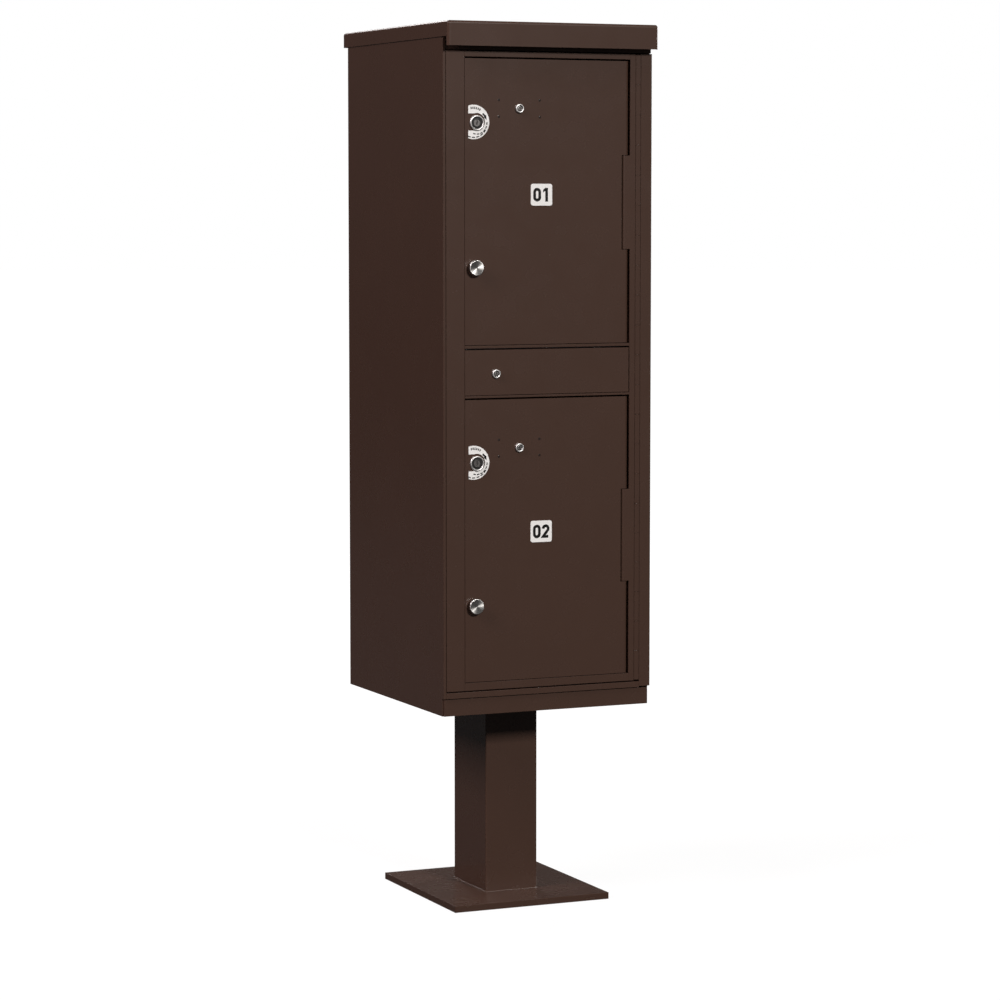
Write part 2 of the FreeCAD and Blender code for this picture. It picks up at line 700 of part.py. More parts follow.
def make_master_lock(spot):
    x, z = spot
    part(make_lock("master_lock", x, z, small_lock(d.master_end)), "master_lock_plug")
    make_nut("master_lock_nut", x, z, d.small_nut_r, d.small_barrel_r, front + d.door_skin)
    part(cam(x, z, d.master_end, d.master_hub_r, d.master_reach), "master_lock_cam")


# ---------------------------------------------------------------- parcel doors

def make_parcel_door(number):
    prefix = f"parcel_door_{number}"
    low = door_bottoms[number]
    high = low + door_height
    middle = door_middle(number)
    lock_x = door_left + d.lock_x
    knob_x = door_left + d.knob_x
    lock_z = middle + d.lock_rise
    knob_z = middle - d.knob_drop
    carrier_z = middle + d.carrier_rise
    skin_y = (front, front + d.door_skin)
    flange_y = (front, front + d.door_flange)
    flange_right = parcel_x - d.barrel_r * 2
    tab_low = middle - d.tab_height / 2 - d.tab_clear
    tab_high = middle + d.tab_height / 2 + d.tab_clear

    stud_spots = [(d.carrier_x + sx * d.stud_x / 2, carrier_z + sz * d.stud_z / 2)
                  for sx in (-1, 1) for sz in (-1, 1)]

    solid = fuse(
        box((door_left, parcel_x), skin_y, (low, high)),
        box((door_left, door_left + d.door_flange_sheet), flange_y, (low, high)),
        box((door_left, flange_right), flange_y, (low, low + d.door_flange_sheet)),
        box((door_left, flange_right), flange_y, (high - d.door_flange_sheet, high)),
        rod("z", (parcel_x, parcel_y), d.barrel_r, low, high),
    )
    notch = box((parcel_x - d.barrel_r - d.notch_clear, parcel_x + d.barrel_r + OVER),
                (front - OVER, front + d.barrel_r * 2 + OVER), (tab_low, tab_high))
    through = (front - OVER, front + d.door_skin + OVER)
    holes = [rod("y", (lock_x, lock_z), d.customer_barrel_r, *through),
             rod("y", (d.carrier_x, carrier_z), d.small_barrel_r, *through),
             rod("y", (knob_x, knob_z), d.knob_shank_r, *through)]
    holes += [rod("y", spot, d.stud_r, *through) for spot in stud_spots]
    bore = rod("z", (parcel_x, parcel_y), d.parcel_pin_r + d.pin_play, low - OVER, high + OVER)
    part(cut(solid, notch, bore, *holes), prefix + "_panel")

    lock = f"customer_lock_{number}"
    part(make_lock(lock, lock_x, lock_z, CUSTOMER), lock + "_plug")
    make_nut(lock + "_nut", lock_x, lock_z, d.customer_nut_r, d.customer_barrel_r,
             front + d.door_skin)
    part(cam(lock_x, lock_z, d.customer_end, d.customer_hub_r, d.customer_reach), lock + "_cam")

    carrier = f"carrier_lock_{number}"
    plug = make_lock(carrier, d.carrier_x, carrier_z, small_lock(d.carrier_end))
    tail = cam(d.carrier_x, carrier_z, d.carrier_end, d.carrier_hub_r, d.carrier_reach)
    part(fuse(plug, tail), carrier + "_plug")

    plate_y = (front + d.door_skin, front + d.door_skin + d.sheet)
    plate = box((d.carrier_x - d.bracket_width / 2, d.carrier_x + d.bracket_width / 2), plate_y,
                (carrier_z - d.bracket_height / 2, carrier_z + d.bracket_height / 2))
    studs = [rod("y", spot, d.stud_r, front, plate_y[0]) for spot in stud_spots]
    barrel = rod("y", (d.carrier_x, carrier_z), d.small_barrel_r,
                 plate_y[0] - OVER, plate_y[1] + OVER)
    part(fuse(cut(plate, barrel), *studs), carrier + "_bracket")

    label_x = lock_x - d.label_left
    label_z = lock_z + d.label_up
    label_end = label_x - d.label_outer_r - OVER
    around = (front - OVER, front + OVER)
    disc = rod("y", (label_x, label_z), d.label_outer_r, front - d.label_thick, front)
    eye = rod("y", (lock_x, label_z), d.label_inner_r, *around)
    slot = box((label_end, lock_x), around, (label_z - d.label_slot, label_z + d.label_slot))
    edge = box((label_end, lock_x - d.label_cut), around,
               (label_z - d.label_outer_r - OVER, label_z + d.label_outer_r + OVER))
    part(cut(disc, eye, slot, edge), f"turn_label_{number}")

    blank = rectangle(d.number_width / 2, d.number_height / 2)
    tile = padded(f"number_plate_{number}", blank, 0, d.number_thick)
    rounded(tile, d.number_corner, is_upright)
    tile.Placement = FreeCAD.Placement(FreeCAD.Vector(), FreeCAD.Rotation(FreeCAD.Vector(1, 0, 0), 90))
    place(tile, d.number_x, front, middle + d.number_rise)
    part(tile, f"number_plate_{number}")

    stand = d.knob_standoff
    face = stand + d.knob_head
    tail_end = d.door_skin + d.knob_tail
    knob = turned(f"pull_knob_{number}", [
        (0, -face), (d.knob_r - d.knob_edge, -face), (d.knob_r, d.knob_edge - face),
        (d.knob_r, -stand - d.knob_back_edge), (d.knob_r - d.knob_back_edge, -stand),
        (d.knob_neck_r, -stand), (d.knob_neck_r, 0), (d.knob_shank_r, 0),
        (d.knob_shank_r, tail_end), (0, tail_end),
    ], knob_x, front, knob_z)
    part(knob, f"pull_knob_{number}")


# ---------------------------------------------------------------- build

bolt_spots = make_pedestal()
make_shell(bolt_spots)
make_hood()
make_top(make_front())
make_floors()
make_frame()
make_master_hinge()
make_master_lock(make_centre_panel())
for door_number in (1, 2):
    make_parcel_door(door_number)

doc.recompute()
for item in doc.Objects:
    if {"Invalid", "Error"} & set(item.State):
        raise RuntimeError(f"{item.Label} failed: {item.State}")
for item in parts:
    if item.Shape.isNull() or not item.Shape.isValid():
        raise RuntimeError(f"{item.Label} has no valid shape")
    item.Shape.exportStep(f"parts/{item.Label}.step")
print(len(parts), "parts written")
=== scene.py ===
import json
import math

import bmesh
import bpy
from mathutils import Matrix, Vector


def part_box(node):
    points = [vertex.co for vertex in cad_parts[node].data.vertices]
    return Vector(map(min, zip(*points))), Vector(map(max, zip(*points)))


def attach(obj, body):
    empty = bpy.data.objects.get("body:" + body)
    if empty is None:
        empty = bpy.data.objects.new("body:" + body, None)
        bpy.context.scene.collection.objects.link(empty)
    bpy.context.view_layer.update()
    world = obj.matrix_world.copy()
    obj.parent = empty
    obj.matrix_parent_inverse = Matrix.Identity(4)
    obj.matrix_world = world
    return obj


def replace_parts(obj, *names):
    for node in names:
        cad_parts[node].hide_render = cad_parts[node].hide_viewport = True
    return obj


# Outdoor parcel locker on a pedestal. Metres, in the CAD frame: X across the front, Y to the back,
# Z up, the doors facing -Y. Places come from the CAD nodes' boxes.

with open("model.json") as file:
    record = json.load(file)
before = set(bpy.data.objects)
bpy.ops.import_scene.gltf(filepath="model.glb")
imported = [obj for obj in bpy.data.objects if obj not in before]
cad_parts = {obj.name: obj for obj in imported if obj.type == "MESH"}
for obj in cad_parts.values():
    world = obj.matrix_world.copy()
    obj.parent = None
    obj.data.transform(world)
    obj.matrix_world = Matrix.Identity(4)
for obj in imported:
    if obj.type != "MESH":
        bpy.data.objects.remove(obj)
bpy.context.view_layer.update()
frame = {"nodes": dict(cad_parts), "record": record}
nodes = frame["nodes"]

MM = 0.001
DOOR_NUMBERS = (1, 2)


# ---------------------------------------------------------------- places

def middle(node):
    low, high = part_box(node)
    return (Vector(low) + Vector(high)) / 2


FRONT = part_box("center_panel")[0][1]            # the plane of the doors' faces


def face_spot(node):
    """Where the middle of a round fitting meets the plane of the doors' faces."""
    centre = middle(node)
    return Vector((centre.x, FRONT, centre.z))


# ---------------------------------------------------------------- material nodes

class Graph:
    """The node tree of one material, around its Principled shader."""

    def __init__(self, name, **sockets):
        self.material = bpy.data.materials.new(name)
        self.material.use_nodes = True
        self.tree = self.material.node_tree
        self.shader = self.tree.nodes["Principled BSDF"]
        self.place = self.add("ShaderNodeTexCoord").outputs["Object"]
        for socket, value in sockets.items():
            self.shader.inputs[socket.replace("_", " ")].default_value = value

    def add(self, kind, **settings):
        node = self.tree.nodes.new(kind)
        for key, value in settings.items():
            setattr(node, key, value)
        return node

    def link(self, output, socket):
        self.tree.links.new(output, socket)

    def mapped(self, stretch):
        """Object coordinates, stretched along each axis."""
        node = self.add("ShaderNodeMapping")
        node.inputs["Scale"].default_value = stretch
        self.link(self.place, node.inputs["Vector"])
        return node.outputs["Vector"]

    def noise(self, scale, detail, rough=0.5, vector=None):
        node = self.add("ShaderNodeTexNoise")
        node.inputs["Scale"].default_value = scale
        node.inputs["Detail"].default_value = detail
        node.inputs["Roughness"].default_value = rough
        self.link(vector or self.place, node.inputs["Vector"])
        return node.outputs["Fac"]

    def ramp(self, value, stops):
        """A value turned into greys or colours, by (place, colour) stops."""
        node = self.add("ShaderNodeValToRGB")
        ramp = node.color_ramp
        while len(ramp.elements) < len(stops):
            ramp.elements.new(0.5)
        for element, (spot, colour) in zip(ramp.elements, stops):
            element.position = spot
            element.color = (*colour, 1)
        self.link(value, node.inputs["Fac"])
        return node.outputs["Color"]

    def spread(self, value, low, high):
        """A noise value, which is mostly 0.3 to 0.7, moved to the range low to high."""
        node = self.add("ShaderNodeMapRange")
        node.inputs["From Min"].default_value = 0.3
        node.inputs["From Max"].default_value = 0.7
        node.inputs["To Min"].default_value = low
        node.inputs["To Max"].default_value = high
        self.link(value, node.inputs["Value"])
        return node.outputs["Result"]

    def bump(self, height, distance, strength, under=None):
        node = self.add("ShaderNodeBump")
        node.inputs["Strength"].default_value = strength
        node.inputs["Distance"].default_value = distance
        self.link(height, node.inputs["Height"])
        if under:
            self.link(under, node.inputs["Normal"])
        return node.outputs["Normal"]

    def finish(self, colour=None, roughness=None, normal=None):
        for output, socket in ((colour, "Base Color"), (roughness, "Roughness"), (normal, "Normal")):
            if output:
                self.link(output, self.shader.inputs[socket])
        return self.material


def shades(colour, spread):
    """A darker and a lighter version of a colour."""
    return [tuple(channel * factor for channel in colour) for factor in (1 - spread, 1 + spread)]


# ---------------------------------------------------------------- materials

def powder_coat(name, colour):
    """Smooth powder coat: faint clouds, orange peel and fine grain."""
    g = Graph(name, Specular_IOR_Level=0.5)
    dark, light = shades(colour, 0.025)
    clouds = g.noise(6, 4, 0.6)
    speckle = g.noise(900, 1)
    colour = g.add("ShaderNodeMix", data_type="RGBA", blend_type="MULTIPLY")
    colour.inputs["Factor"].default_value = 0.35
    g.link(g.ramp(clouds, [(0.3, dark), (0.7, light)]), colour.inputs["A"])
    g.link(g.ramp(speckle, [(0.35, (0.86, 0.86, 0.86)), (0.65, (1, 1, 1))]), colour.inputs["B"])
    rough = g.spread(g.noise(22, 3), 0.26, 0.28)
    peel = g.bump(g.noise(330, 1), 0.00002, 0.22)
    grain = g.bump(g.noise(1700, 0), 0.000006, 0.3, peel)
    return g.finish(colour.outputs["Result"], rough, grain)


def rolled_aluminium():
    """Mill-finish sheet with fine rolling lines from front to back."""
    g = Graph("mill_aluminium", Metallic=1.0)
    lines = g.noise(1, 3, 0.6, g.mapped((900, 12, 900)))
    dark, light = shades((0.56, 0.56, 0.57), 0.10)
    stains = g.noise(9, 3)
    colour = g.add("ShaderNodeMix", data_type="RGBA", blend_type="MULTIPLY")
    colour.inputs["Factor"].default_value = 0.6
    g.link(g.ramp(lines, [(0.3, dark), (0.7, light)]), colour.inputs["A"])
    g.link(g.ramp(stains, [(0.3, (0.88, 0.88, 0.89)), (0.7, (1, 1, 1))]), colour.inputs["B"])
    return g.finish(colour.outputs["Result"], g.spread(lines, 0.34, 0.46),
                    g.bump(lines, 0.00003, 0.5))


def zinc_plate():
    """Zinc-plated steel: soft spangle and light scratches."""
    g = Graph("zinc_plate", Metallic=1.0)
    cells = g.add("ShaderNodeTexVoronoi")
    cells.inputs["Scale"].default_value = 260
    g.link(g.place, cells.inputs["Vector"])
    dark, light = shades((0.52, 0.52, 0.53), 0.12)
    scratches = g.noise(1, 2, 0.6, g.mapped((1400, 60, 200)))
    return g.finish(g.ramp(cells.outputs["Distance"], [(0.0, dark), (0.8, light)]),
                    g.spread(scratches, 0.26, 0.42), g.bump(scratches, 0.00002, 0.4))


def satin_chrome():
    """Satin plating, finely blasted, with a trace of handling haze."""
    g = Graph("lock_chrome", Metallic=1.0)
    haze = g.noise(240, 3)
    dark, light = shades((0.66, 0.65, 0.64), 0.05)
    return g.finish(g.ramp(haze, [(0.3, dark), (0.7, light)]), g.spread(haze, 0.36, 0.44),
                    g.bump(g.noise(1500, 1), 0.00001, 0.4))


def lock_steel():
    """The plug's satin steel, ground across its face."""
    g = Graph("lock_plug", Metallic=1.0)
    lines = g.noise(1, 2, 0.5, g.mapped((3000, 300, 500)))
    dark, light = shades((0.22, 0.21, 0.205), 0.2)
    return g.finish(g.ramp(lines, [(0.3, dark), (0.7, light)]), g.spread(lines, 0.28, 0.42),
                    g.bump(lines, 0.00002, 0.5))


def lock_shadow():
    """Painted shade: a near-black lining for the floor of a lock's recess, its darkness varied by
    noise.
    """
    g = Graph("lock_recess_painted_shade", Metallic=0.4)
    shade_mottle = g.noise(700, 3)
    return g.finish(g.ramp(shade_mottle, [(0.3, (0.010, 0.010, 0.010)), (0.7, (0.026, 0.025, 0.024))]),
                    g.spread(shade_mottle, 0.45, 0.65), g.bump(shade_mottle, 0.00003, 0.5))


def turned_steel():
    """Satin steel turned on a lathe: rings round the knob's own axis."""
    g = Graph("satin_knob", Metallic=1.0, Anisotropic=0.75)
    tangent = g.add("ShaderNodeTangent", direction_type="RADIAL", axis="Y")
    g.link(tangent.outputs["Tangent"], g.shader.inputs["Tangent"])
    grain = g.noise(900, 2)
    dark, light = shades((0.70, 0.69, 0.67), 0.06)
    return g.finish(g.ramp(grain, [(0.3, dark), (0.7, light)]), g.spread(grain, 0.26, 0.34),
                    g.bump(grain, 0.00001, 0.4))


def vinyl():
    """White printed vinyl, very slightly mottled."""
    g = Graph("white_label", Specular_IOR_Level=0.4)
    mottle = g.noise(500, 3)
    dark, light = shades((0.86, 0.86, 0.85), 0.03)
    return g.finish(g.ramp(mottle, [(0.3, dark), (0.7, light)]), g.spread(mottle, 0.32, 0.44),
                    g.bump(mottle, 0.00002, 0.3))


def ink(name, tone):
    """Printing ink with slightly uneven cover."""
    g = Graph(name, Specular_IOR_Level=0.2)
    cover = g.noise(1500, 3)
    dark, light = shades((tone, tone, tone), 0.2)
    return g.finish(g.ramp(cover, [(0.3, dark), (0.7, light)]), g.spread(cover, 0.38, 0.5),
                    g.bump(cover, 0.00001, 0.3))


def foam_rubber():
    """Closed-cell foam strip with a fine pored skin."""
    g = Graph("seal_rubber", Specular_IOR_Level=0.3)
    pores = g.add("ShaderNodeTexVoronoi")
    pores.inputs["Scale"].default_value = 1100
    g.link(g.place, pores.inputs["Vector"])
    cells = pores.outputs["Distance"]
    return g.finish(g.ramp(cells, [(0.0, (0.012, 0.012, 0.012)), (0.7, (0.035, 0.035, 0.035))]),
                    g.spread(cells, 0.7, 0.9), g.bump(cells, 0.0001, 0.6))


COAT = powder_coat("bronze_powder_coat", (0.058, 0.0308, 0.0216))
# A much darker bronze coat whose darkness is painted shade, for the creases round the lock brackets'
# studs.
CREASE_SHADE_COAT = powder_coat("bronze_coat_painted_crease_shade", (0.018, 0.010, 0.008))
ALUMINIUM = rolled_aluminium()
ZINC = zinc_plate()
CHROME = satin_chrome()
LOCK_STEEL = lock_steel()
LOCK_SHADOW = lock_shadow()
TURNED_STEEL = turned_steel()
VINYL = vinyl()
BLACK_INK = ink("black_ink", 0.004)
GREY_INK = ink("grey_ink", 0.04)
RUBBER = foam_rubber()

SLOT_MATERIALS = {
    "bronze_powder_coat": COAT, "plain_aluminium": ALUMINIUM, "plated_steel": ZINC,
    "lock_chrome": CHROME, "lock_plug": LOCK_STEEL, "satin_knob": TURNED_STEEL,
    "white_label": VINYL, "seal_rubber": RUBBER,
}


# ---------------------------------------------------------------- meshes

def piece(name, mesh, material, body):
    """A new visible piece that rides on a CAD body."""
    item = bpy.data.objects.new(name, mesh)
    bpy.context.scene.collection.objects.link(item)
    mesh.materials.clear()
    mesh.materials.append(material)
    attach(item, body)
    return item


def smoothed(item, angle=35):
    """Shade smooth across shallow angles only."""
    for polygon in item.data.polygons:
        polygon.use_smooth = True
    item.data.set_sharp_from_angle(angle=math.radians(angle))
    return item


def rounded(item, width):
    """Close the mesh's split edges, join its flat triangles, then round its sharp edges."""
    weld = item.modifiers.new("weld", "WELD")
    weld.merge_threshold = 0.002 * MM
    whole = item.modifiers.new("whole_faces", "DECIMATE")
    whole.decimate_type = "DISSOLVE"
    whole.angle_limit = math.radians(1)
    bevel = item.modifiers.new("soft_edges", "BEVEL")
    bevel.width = width
    bevel.segments = 2
    bevel.limit_method = "ANGLE"
    bevel.angle_limit = math.radians(32)
    bevel.face_strength_mode = "FSTR_ALL"
    shading = item.modifiers.new("shading", "WEIGHTED_NORMAL")
    shading.use_face_influence = True


def lathe(name, profile, spot, segments=72):
    """A shape turned about the -Y axis through spot; profile is (radius, proud of spot)."""
    bm = bmesh.new()
    rings = []
    for radius, proud in profile:
        if radius < 1e-7:
            rings.append([bm.verts.new(spot + Vector((0, -proud, 0)))])
            continue
        ring = []
        for step in range(segments):
            turn = 2 * math.pi * step / segments
            ring.append(bm.verts.new(spot + Vector((radius * math.cos(turn), -proud,
                                                    radius * math.sin(turn)))))
        rings.append(ring)
    for ring, nxt in zip(rings, rings[1:]):
        for step in range(segments):
            after = (step + 1) % segments
            corners = [ring[step % len(ring)], ring[after % len(ring)],
                       nxt[after % len(nxt)], nxt[step % len(nxt)]]
            bm.faces.new(list(dict.fromkeys(corners)))
    bmesh.ops.recalc_face_normals(bm, faces=bm.faces)
    mesh = bpy.data.meshes.new(name)
    bm.to_mesh(mesh)
    bm.free()
    return mesh


def closed(profile):
    """A profile that ends where it starts, so that the turned shape has no open edge."""
    return profile + profile[:1]


def slab(bm, outline, front_y, back_y):
    """A flat plate standing in the XZ plane, from its outline of (x, z) corners."""
    near = [bm.verts.new((x, front_y, z)) for x, z in outline]
    far = [bm.verts.new((x, back_y, z)) for x, z in outline]
    bm.faces.new(near)
    bm.faces.new(far[::-1])
    count = len(outline)
    for index in range(count):
        after = (index + 1) % count
        bm.faces.new((near[after], near[index], far[index], far[after]))


def on_circle(centre, radius, angle):
    """A point on a circle in the XZ plane, the angle in degrees anticlockwise from +X."""
    turn = math.radians(angle)
    return (centre.x + radius * math.cos(turn), centre.z + radius * math.sin(turn))


def arc(centre, radius, start, end, steps):
    """Points on a circle from one angle to another."""
    return [on_circle(centre, radius, start + (end - start) * step / steps)
            for step in range(steps + 1)]


def band(centre, inner, outer, start, end, steps=6):
    """The outline of a stretch of a ring."""
    return arc(centre, outer, start, end, steps) + arc(centre, inner, end, start, steps)


def plates(name, outlines, front_y, back_y):
    """Several flat plates in one mesh."""
    bm = bmesh.new()
    for outline in outlines:
        slab(bm, outline, front_y, back_y)
    bmesh.ops.recalc_face_normals(bm, faces=bm.faces)
    mesh = bpy.data.meshes.new(name)
    bm.to_mesh(mesh)
    bm.free()
    return mesh


# ---------------------------------------------------------------- carried-over CAD nodes

EDGE_BY_SLOT = {
    "bronze_powder_coat": 0.5 * MM, "plain_aluminium": 0.3 * MM, "plated_steel": 0.4 * MM,
    "lock_chrome": 0.3 * MM, "lock_plug": 0.15 * MM, "satin_knob": 0.4 * MM,
    "white_label": 0.05 * MM, "seal_rubber": 1.0 * MM,
}


def dress_nodes():
    """Give every CAD node its material and slightly rounded edges."""
    slots = {row["node"]: row["material_slot"] for row in frame["record"]["subparts"]}
    for name, node in nodes.items():
        node.data.materials.clear()
        node.data.materials.append(SLOT_MATERIALS[slots[name]])
        rounded(node, EDGE_BY_SLOT[slots[name]])


# ---------------------------------------------------------------- door fittings

def dome(inner, outer, proud, drop, steps=8):
    """The profile of a ring's rounded face: half an ellipse from its inner to its outer edge."""
    half = (outer - inner) / 2
    profile = []
    for step in range(steps + 1):
        turn = math.pi * (1 - step / steps)
        profile.append((inner + half + half * math.cos(turn),
                        proud - drop + drop * math.sin(turn)))
    return profile


def customer_lock(number):
    """Satin bezel with a domed rim round a recess lined with near-black painted shade; the CAD plug
    turns inside it.
    """
    node = f"customer_lock_{number}_body"
    body = f"parcel_door_{number}"
    spot = face_spot(node)
    low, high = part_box(node)
    proud = FRONT - low[1]
    depth = high[1] - FRONT
    outer = (high[0] - low[0]) / 2
    barrel = 9.5 * MM
    wall = 2 * MM
    lip = outer - 3.4 * MM
    plug_low, plug_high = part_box(f"customer_lock_{number}_plug")
    bore = (plug_high[0] - plug_low[0]) / 2 + 0.1 * MM
    bezel = closed([(lip, 0)] + dome(lip, outer, proud, 1.6 * MM) + [
        (outer, 0), (barrel, 0), (barrel, -depth), (barrel - wall, -depth), (barrel - wall, 0),
    ])
    ring = piece(node + "_bezel", lathe(node, bezel, spot), CHROME, body)
    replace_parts(smoothed(ring), node)
    # The recess floor and the plug's collar get a near-black lining that paints the shade inside the
    # bezel.
    floor = proud - 1.9 * MM
    under = floor - 1 * MM
    collar = bore + 1.5 * MM
    collar_top = floor + 0.9 * MM
    recess = closed([
        (lip, under), (lip, floor), (collar + 0.1 * MM, floor), (collar, floor + 0.7 * MM),
        (collar - 0.4 * MM, collar_top), (bore, collar_top), (bore, under),
    ])
    well = piece(node + "_recess", lathe(node, recess, spot), LOCK_SHADOW, body)
    smoothed(well)


def small_lock(name, body):
    """Satin cap of a small cam lock: a domed ring round a conical mouth lined with near-black
    painted shade.
    """
    node = name + "_body"
    spot = face_spot(node)
    low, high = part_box(node)
    proud = FRONT - low[1]
    depth = high[1] - FRONT
    outer = (high[0] - low[0]) / 2
    barrel = 5.6 * MM
    bore = 3.66 * MM
    mouth = bore + 1.2 * MM
    plug_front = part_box(name + "_plug")[0][1]
    seat = proud - (plug_front - low[1])
    cap = closed([(bore, seat), (bore + 0.1 * MM, seat)]
                 + dome(mouth, outer, proud, 1.2 * MM)
                 + [(outer, 0), (barrel, 0), (barrel, -depth), (bore, -depth)])
    ring = piece(node + "_cap", lathe(node, cap, spot), CHROME, body)
    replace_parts(smoothed(ring), node)
    # The mouth's near-black lining is painted shade.
    liner = closed([(bore, seat + 0.02 * MM), (mouth, proud - 1.1 * MM),
                    (mouth + 0.1 * MM, proud - 1.3 * MM), (bore + 0.3 * MM, seat - 0.2 * MM)])
    smoothed(piece(node + "_mouth", lathe(node, liner, spot, 48), LOCK_SHADOW, body))


def pull_knob(number):
    """Turned knob: shallow concentric cuts on the face, a rolled rim and a waisted neck."""
    node = f"pull_knob_{number}"
    spot = face_spot(node)
    low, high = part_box(node)
    proud = FRONT - low[1]
    shank = high[1] - FRONT
    outer = (high[0] - low[0]) / 2
    head = 6.5 * MM
    roll = 1.2 * MM
    waist = 6.4 * MM
    foot = 7.0 * MM
    screw = 2.5 * MM
    face = []
    cuts = 9
    for cut in range(cuts):
        radius = (outer - 1.6 * MM) * (cut + 0.5) / cuts
        face.append((radius, proud - 0.10 * MM))
        face.append((radius + 0.35 * MM, proud - 0.02 * MM))
    rim = []
    rim_steps = 6
    for step in range(rim_steps + 1):
        turn = math.pi / 2 * (1 - step / rim_steps)
        rim.append((outer - roll + roll * math.cos(turn), proud - roll + roll * math.sin(turn)))
    back = proud - head
    neck = [(outer, back + 0.8 * MM), (outer - 0.8 * MM, back), (8.2 * MM, back - 0.1 * MM),
            (6.6 * MM, back - 1.4 * MM), (waist, 1.6 * MM), (foot, 0),
            (screw, 0), (screw, -shank), (0, -shank)]
    profile = [(0, proud - 0.06 * MM)] + face + rim + neck
    knob = piece(node + "_turned", lathe(node, profile, spot, 96), TURNED_STEEL,
                 f"parcel_door_{number}")
    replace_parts(smoothed(knob, 50), node)


INK_THICK = 0.03 * MM


def turn_label(number):
    """Marks printed on the open ring round the lock: an arrow and rows of plain dashes."""
    node = f"turn_label_{number}"
    spot = face_spot(f"customer_lock_{number}_body")
    low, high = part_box(node)
    rim = (high[2] - low[2]) / 2
    centre = Vector((high[0] - rim, FRONT, (low[2] + high[2]) / 2))
    face = low[1]
    raised = face - INK_THICK

    path = 19.4 * MM
    half_shaft = 1.6 * MM
    half_head = 3.1 * MM
    shaft = band(spot, path - half_shaft, path + half_shaft, 56, 36)
    head = [on_circle(spot, path - half_head, 38), on_circle(spot, path + half_head, 38),
            on_circle(spot, path, 15)]
    piece(node + "_arrow", plates(node, [shaft, head], raised, face), BLACK_INK,
          f"parcel_door_{number}")

    ticks = [band(centre, rim - 7.4 * MM, rim - 3.4 * MM, start, start + 5, 2)
             for start in range(58, 106, 8)]
    inner_row = [band(spot, path - 1.0 * MM, path + 1.0 * MM, start, start - 14)
                 for start in range(4, -100, -20)]
    outer_row = [band(centre, rim - 4.2 * MM, rim - 2.2 * MM, start, start - 13)
                 for start in range(-30, -108, -18)]
    dashes = ticks + inner_row + outer_row
    piece(node + "_dashes", plates(node + "_dashes", dashes, raised, face), GREY_INK,
          f"parcel_door_{number}")


DIGIT_HEIGHT = 24 * MM
DIGIT_WIDTH = 15 * MM
STROKE = 5.2 * MM
DIGIT_SHIFT = 8.6 * MM


def digit_path(digit):
    """The middle line of a 0 or a 2, as (x, z) from its own centre."""
    side = (DIGIT_WIDTH - STROKE) / 2
    top = (DIGIT_HEIGHT - STROKE) / 2
    bend = top - side
    crown = arc(Vector((0, 0, bend)), side, 180, 0, 10)
    if digit == 2:
        return crown + [(side, bend - 1.5 * MM), (-side, -top), (side * 1.05, -top)]
    return crown + arc(Vector((0, 0, -bend)), side, 0, -180, 10) + crown[:1]


def stroke(path, width):
    """Outlines of the stretches of a thick line, mitred where they meet."""
    rims = []
    loop = path[0] == path[-1]
    for index, (x, z) in enumerate(path):
        before = path[index - 1] if index else (path[-2] if loop else None)
        after = path[index + 1] if index < len(path) - 1 else (path[1] if loop else None)
        into = Vector((x - before[0], z - before[1])).normalized() if before else None
        away = Vector((after[0] - x, after[1] - z)).normalized() if after else None
        ahead = ((into or away) + (away or into)).normalized()
        reach = width / 2 / max(0.45, ahead.dot(into or away))
        rims.append(((x - ahead.y * reach, z + ahead.x * reach),
                     (x + ahead.y * reach, z - ahead.x * reach)))
    return [(left, right, next_right, next_left)
            for (left, right), (next_left, next_right) in zip(rims, rims[1:])]


def digit_outlines(digit):
    """The flat shapes that make up a digit, round its own centre; a 1 is a bar with a flag."""
    if digit != 1:
        return stroke(digit_path(digit), STROKE)
    high = DIGIT_HEIGHT / 2
    left, right = -STROKE * 0.3, STROKE * 0.7
    flag = left - 4.2 * MM
    return [
        [(left, high), (right, high), (right, -high), (left, -high)],
        [(left, high), (flag, high - 3.6 * MM), (flag, high - 8.2 * MM), (left, high - 5.4 * MM)],
    ]


def numeral(number):
    """The compartment's two-figure number, printed on its plate."""
    node = f"number_plate_{number}"
    centre = middle(node)
    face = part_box(node)[0][1]
    outlines = []
    for digit, shift in ((0, -DIGIT_SHIFT), (number, DIGIT_SHIFT)):
        for shape in digit_outlines(digit):
            outlines.append([(centre.x + shift + x, centre.z + z) for x, z in shape])
    piece(node + "_numeral", plates(node + "_numeral", outlines, face - INK_THICK, face), BLACK_INK,
          f"parcel_door_{number}")


def stud_caps(number):
    """Painted ends of the lock bracket's four studs, each in a much darker coat that paints the
    shade of the crease round it.
    """
    node = f"carrier_lock_{number}_bracket"
    centre = middle(node)
    half_width, half_height = 39 * MM, 14.5 * MM
    profile = [(2.35 * MM, 0), (2.25 * MM, 0.05 * MM), (1.9 * MM, 0.06 * MM), (0, 0.04 * MM)]
    for row, (side, rise) in enumerate(((-1, -1), (1, -1), (1, 1), (-1, 1)), start=1):
        spot = Vector((centre.x + side * half_width, FRONT, centre.z + rise * half_height))
        name = f"carrier_lock_{number}_stud_cap_{row}"
        smoothed(piece(name, lathe(name, profile, spot, 32), CREASE_SHADE_COAT,
                       f"parcel_door_{number}"))


# ---------------------------------------------------------------- pedestal

